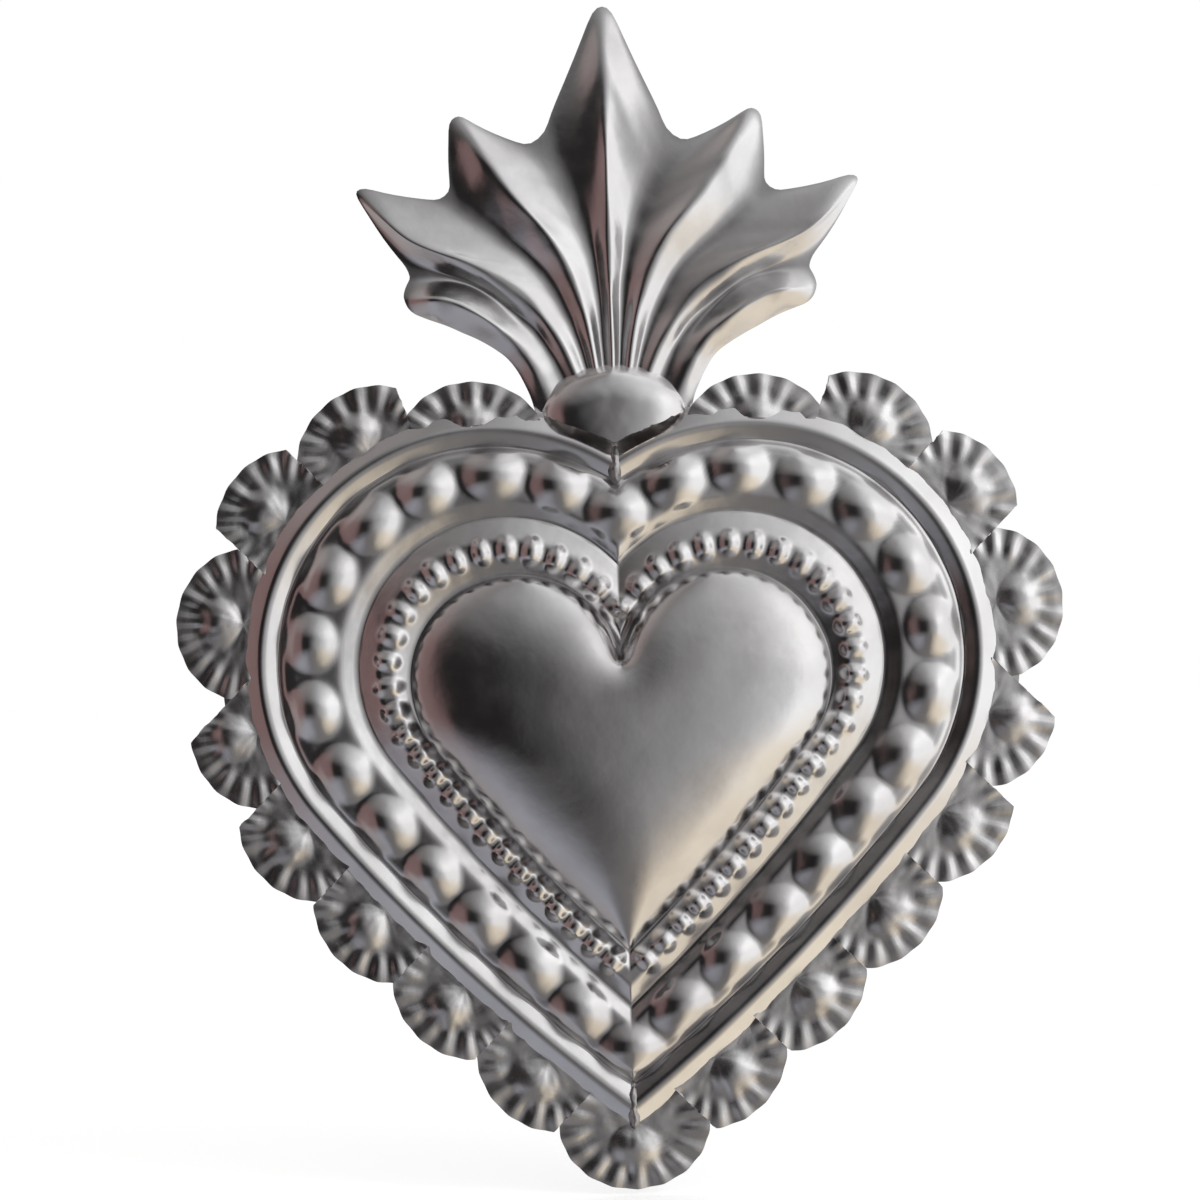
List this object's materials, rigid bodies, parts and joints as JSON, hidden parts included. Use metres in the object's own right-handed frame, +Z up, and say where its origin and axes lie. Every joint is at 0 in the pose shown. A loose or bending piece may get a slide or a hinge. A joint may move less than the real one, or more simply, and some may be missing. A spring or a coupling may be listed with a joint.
{
  "type": "tin heart wall ornament",
  "caption": "Pressed tinplate heart with a scalloped fluted border, beaded channel, puffed centre and creased flame crown, hung by a swinging wire loop on its back.",
  "frame": {"origin": "on the flat back of the heart sheet, on the line of symmetry, level with the middle of the puffed heart", "axes": "+X to the right as seen from the front, +Y out of the back towards the wall, +Z up towards the flame crown; the front faces -Y"},
  "size_m": [0.09, 0.008, 0.1195],
  "materials": {
    "tin": "bright hand-worked tinplate, polished with fine wear and shallow dents",
    "tin_trim": "bright folded tinplate moulding",
    "wire": "tinned steel wire, plain drawn surface",
    "solder": "dull grey soft solder, hand laid"
  },
  "bodies": {
    "ornament": {"heart_sheet": "tin", "rim_left": "tin_trim", "rim_right": "tin_trim", "middle_heart": "tin", "puffed_heart": "tin", "flame_crown": "tin", "crown_boss": "tin", "hanger_strap": "tin", "rim_solder_cleft": "solder", "rim_solder_tip": "solder", "crown_solder": "solder", "strap_solder_upper": "solder", "strap_solder_lower": "solder"},
    "loop": {"hanging_loop": "wire"}
  },
  "joints": [
    {"name": "loop_swing", "type": "hinge", "parent": "ornament", "child": "loop", "pos_m": [0, 0.0013, 0.036], "axis": [1, 0, 0], "range_deg": [0, 180]}
  ]
}
